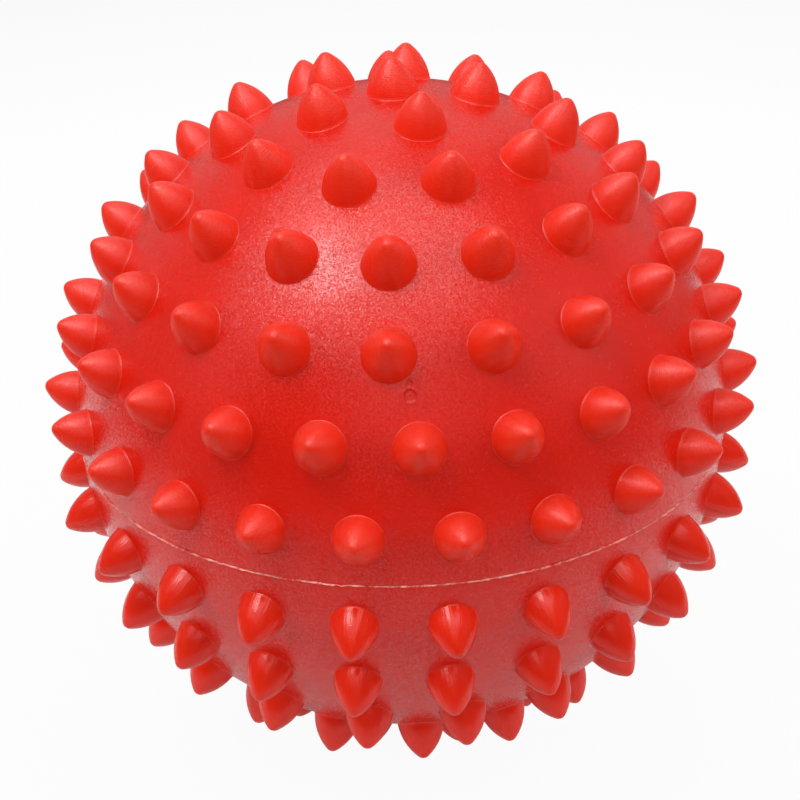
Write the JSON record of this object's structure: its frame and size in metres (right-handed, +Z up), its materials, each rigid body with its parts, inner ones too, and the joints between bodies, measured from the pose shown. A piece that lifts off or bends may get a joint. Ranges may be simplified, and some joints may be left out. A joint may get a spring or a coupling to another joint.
{
  "type": "spiked sensory ball",
  "caption": "Soft hollow ball covered in rows of blunt rounded spikes, with a welded seam round the middle and a needle port, for squeezing, rolling and massage.",
  "frame": {"origin": "centre of the ball, in the plane of the seam", "axes": "+Z up through the upper crown spike, square to the seam; the front with the needle port faces -Y; +X to the right"},
  "size_m": [0.0882, 0.0882, 0.09],
  "materials": {
    "skin": "satin soft vinyl with a fine sand-blasted grain",
    "spikes": "smooth semi-gloss soft vinyl with faint turning marks",
    "bead": "glossy squeezed-out weld bead",
    "valve": "matte dark rubber"
  },
  "bodies": {
    "root": {"upper_half_shell": "skin", "lower_half_shell": "skin", "seam_bead": "bead", "valve_core": "valve", "upper_spike_row_1": "spikes", "upper_spike_row_2": "spikes", "upper_spike_row_3": "spikes", "upper_spike_row_4": "spikes", "upper_spike_row_5": "spikes", "upper_spike_row_6": "spikes", "upper_crown_spike": "spikes", "lower_spike_row_1": "spikes", "lower_spike_row_2": "spikes", "lower_spike_row_3": "spikes", "lower_spike_row_4": "spikes", "lower_spike_row_5": "spikes", "lower_spike_row_6": "spikes", "lower_crown_spike": "spikes"}
  },
  "joints": []
}
